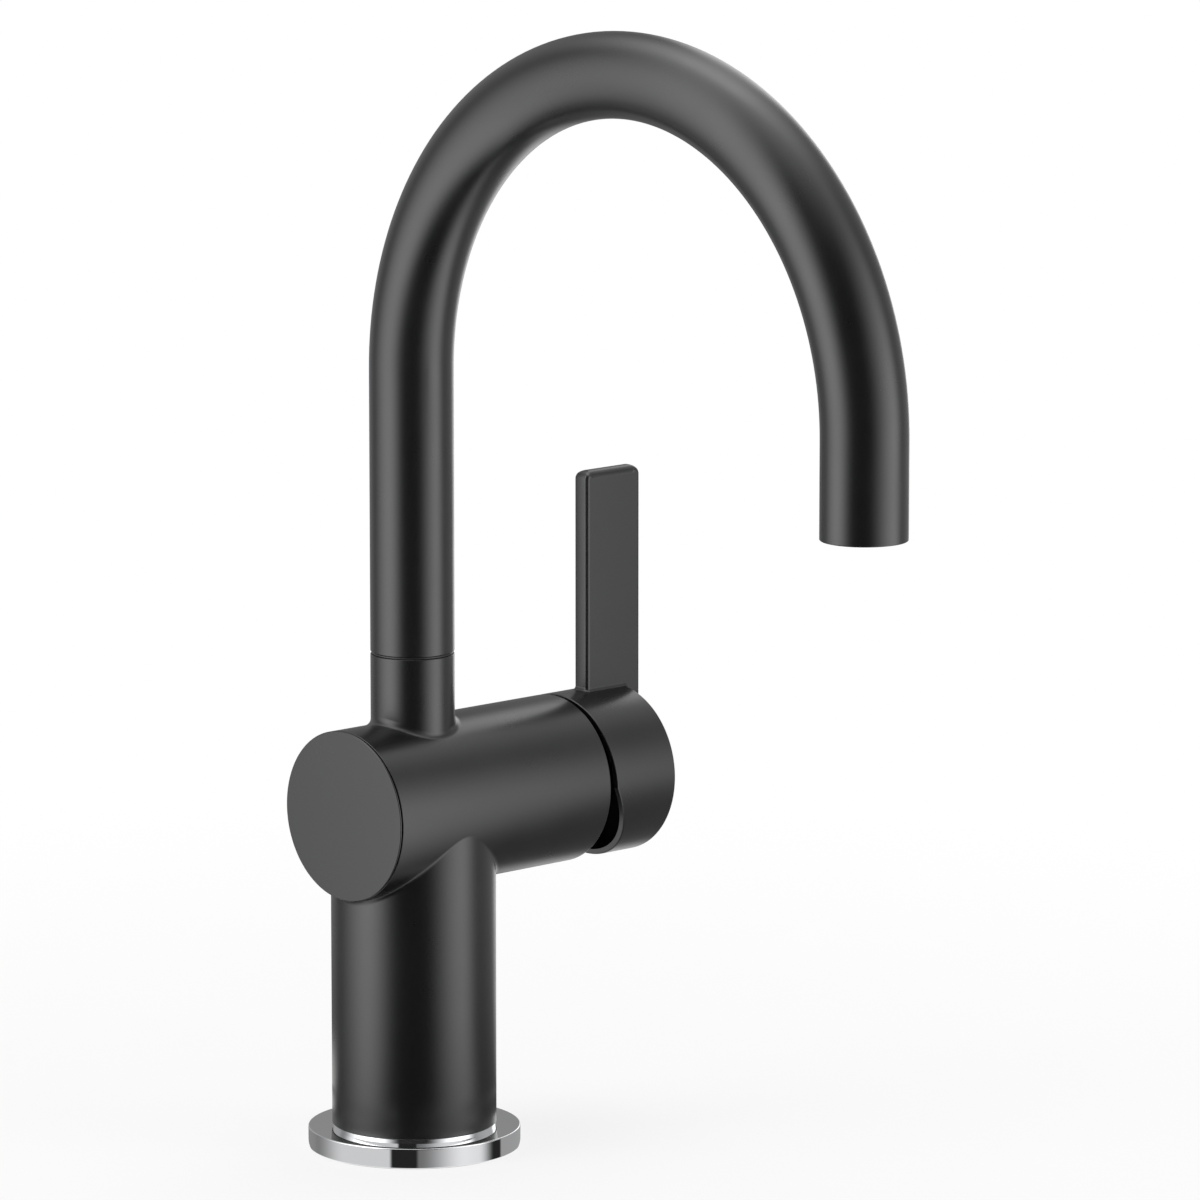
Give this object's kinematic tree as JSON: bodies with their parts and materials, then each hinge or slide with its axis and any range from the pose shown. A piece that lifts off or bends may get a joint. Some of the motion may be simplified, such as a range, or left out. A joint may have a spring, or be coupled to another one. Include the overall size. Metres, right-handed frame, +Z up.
{
  "type": "gooseneck bar faucet",
  "caption": "Deck-mounted bar faucet with a swivelling gooseneck spout, a cross tube and a side lever that sets flow and temperature.",
  "frame": {"origin": "centre of the base ring's underside, on the deck and on the axis of the deck hole and shank", "axes": "+Z up along the column, -Y towards the user and along the spout at rest, +X towards the lever"},
  "size_m": [0.1219, 0.2323, 0.3965],
  "materials": {
    "matte_black": "matte black coating over brass, fine and even, with a soft broad highlight",
    "chrome": "polished chrome plate, mirror bright",
    "brass": "turned, uncoated",
    "steel": "bright stainless",
    "rubber": "moulded, dull",
    "black_acetal": "moulded black acetal, slightly glossy",
    "white_nylon": "moulded, off-white",
    "ceramic": "lapped white alumina"
  },
  "bodies": {
    "faucet": {"faucet_body": "matte_black", "end_cap": "matte_black", "end_cap_o_ring": "rubber", "base_ring": "chrome", "base_gasket": "rubber", "mounting_shank": "brass", "glide_ring": "black_acetal", "spout_retaining_screw": "steel", "cartridge_base": "white_nylon", "cartridge_seal_hot": "rubber", "cartridge_seal_cold": "rubber", "cartridge_seal_outlet": "rubber", "fixed_disc": "ceramic", "cartridge_housing": "white_nylon", "retaining_nut": "brass", "bonnet": "black_acetal"},
    "spout": {"spout_tube": "matte_black", "spout_spigot": "brass", "spout_o_ring_upper": "rubber", "spout_o_ring_lower": "rubber", "spout_bearing_ring": "black_acetal", "outlet_collar": "brass", "aerator_housing": "black_acetal", "aerator_washer": "rubber", "aerator_screen": "steel", "flow_regulator": "white_nylon"},
    "stem_guide": {"stem_guide": "black_acetal", "pivot_pin": "steel"},
    "disc": {"moving_disc": "ceramic", "disc_carrier": "black_acetal"},
    "handle": {"stem": "brass", "handle": "matte_black", "handle_set_screw": "steel", "handle_screw_plug": "black_acetal"},
    "clamp_stack": {"under_deck_gasket": "rubber", "clamp_washer": "steel"},
    "mounting_nut": {"mounting_nut": "brass"}
  },
  "joints": [
    {"name": "spout_swivel", "type": "hinge", "parent": "faucet", "child": "spout", "pos_m": [0, 0, 0.15], "axis": [0, 0, 1], "continuous": true},
    {"name": "lever_turn", "type": "hinge", "parent": "faucet", "child": "stem_guide", "pos_m": [0.04, 0, 0.104], "axis": [1, 0, 0], "range_deg": [-45, 45]},
    {"name": "lever_lift", "type": "hinge", "parent": "stem_guide", "child": "handle", "pos_m": [0.04, 0, 0.104], "axis": [0, 1, 0], "range_deg": [0, 20]},
    {"name": "disc_slide", "type": "slide", "parent": "stem_guide", "child": "disc", "axis": [0, 0, 1], "range_m": [0, 0.0031]},
    {"name": "nut_turn", "type": "hinge", "parent": "clamp_stack", "child": "mounting_nut", "pos_m": [0, 0, -0.029], "axis": [0, 0, 1], "range_deg": [-3060, 3060]},
    {"name": "clamp_slide", "type": "slide", "parent": "faucet", "child": "clamp_stack", "axis": [0, 0, 1], "range_m": [-0.0171, 0.0171]}
  ],
  "couplings": [
    {"joint": "disc_slide", "follows": "lever_lift", "m_per_rad": 0.0088},
    {"joint": "clamp_slide", "follows": "nut_turn", "m_per_rad": 0.00031831}
  ]
}
